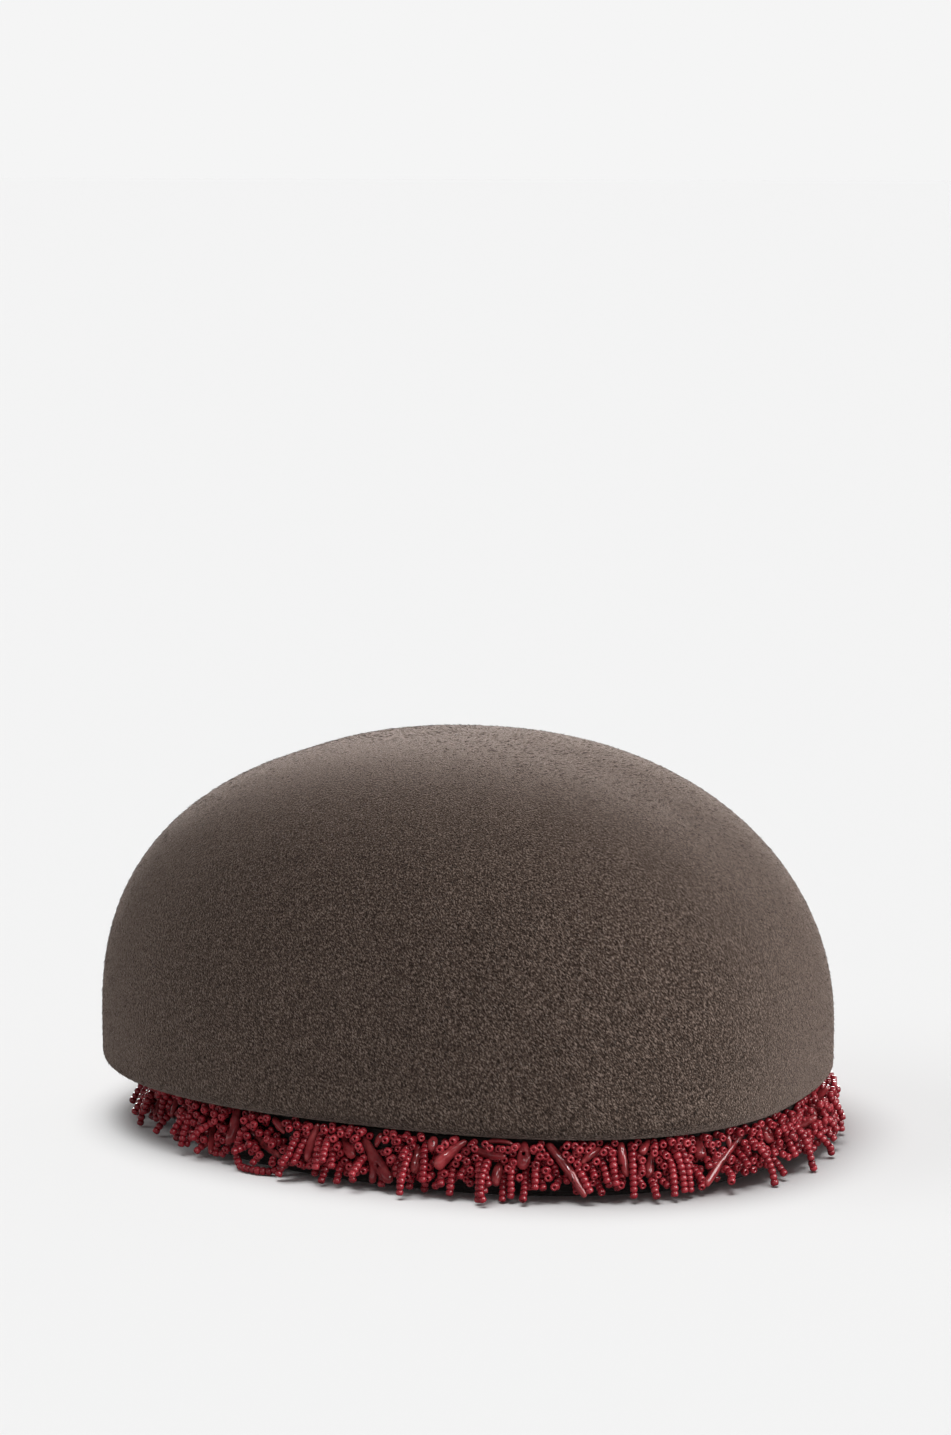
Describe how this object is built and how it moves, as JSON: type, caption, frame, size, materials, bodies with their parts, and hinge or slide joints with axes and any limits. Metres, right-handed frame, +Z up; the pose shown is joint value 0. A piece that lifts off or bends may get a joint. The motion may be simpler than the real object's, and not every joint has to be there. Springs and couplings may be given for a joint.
{
  "type": "toque hat",
  "caption": "Brimless hat with a moulded felt dome, an edge rolled under, and an oval head band hidden by a fringe of red bead strands and branch coral.",
  "frame": {"origin": "centre of the hat's box on the surface it stands on", "axes": "+X along the hat's length towards the end where the crown reaches the band, +Z up to the top of the dome"},
  "size_m": [0.2428, 0.1912, 0.1255],
  "materials": {
    "felt": "grey-brown fur felt, short nap",
    "band_cloth": "dark ribbed ribbon",
    "beads": "opaque coral-red glass seed beads",
    "coral": "polished branch coral"
  },
  "bodies": {
    "root": {"crown": "felt", "head_band": "band_cloth", "bead_fringe": "beads", "coral_branch_01": "coral", "coral_branch_02": "coral", "coral_branch_03": "coral", "coral_branch_04": "coral", "coral_branch_05": "coral", "coral_branch_06": "coral", "coral_branch_07": "coral", "coral_branch_08": "coral", "coral_branch_09": "coral", "coral_branch_10": "coral", "coral_branch_11": "coral", "coral_branch_12": "coral", "coral_branch_13": "coral", "coral_branch_14": "coral", "coral_branch_15": "coral", "coral_branch_16": "coral", "coral_branch_17": "coral", "coral_branch_18": "coral", "coral_branch_19": "coral", "coral_branch_20": "coral", "coral_branch_21": "coral", "coral_branch_22": "coral", "coral_branch_23": "coral", "coral_branch_24": "coral", "coral_branch_25": "coral", "coral_branch_26": "coral", "coral_branch_27": "coral", "coral_branch_28": "coral", "coral_branch_29": "coral", "coral_branch_30": "coral", "coral_branch_31": "coral", "coral_branch_32": "coral", "coral_branch_33": "coral", "coral_branch_34": "coral", "coral_branch_35": "coral", "coral_branch_36": "coral", "coral_branch_37": "coral", "coral_branch_38": "coral", "coral_branch_39": "coral", "coral_branch_40": "coral"}
  },
  "joints": []
}
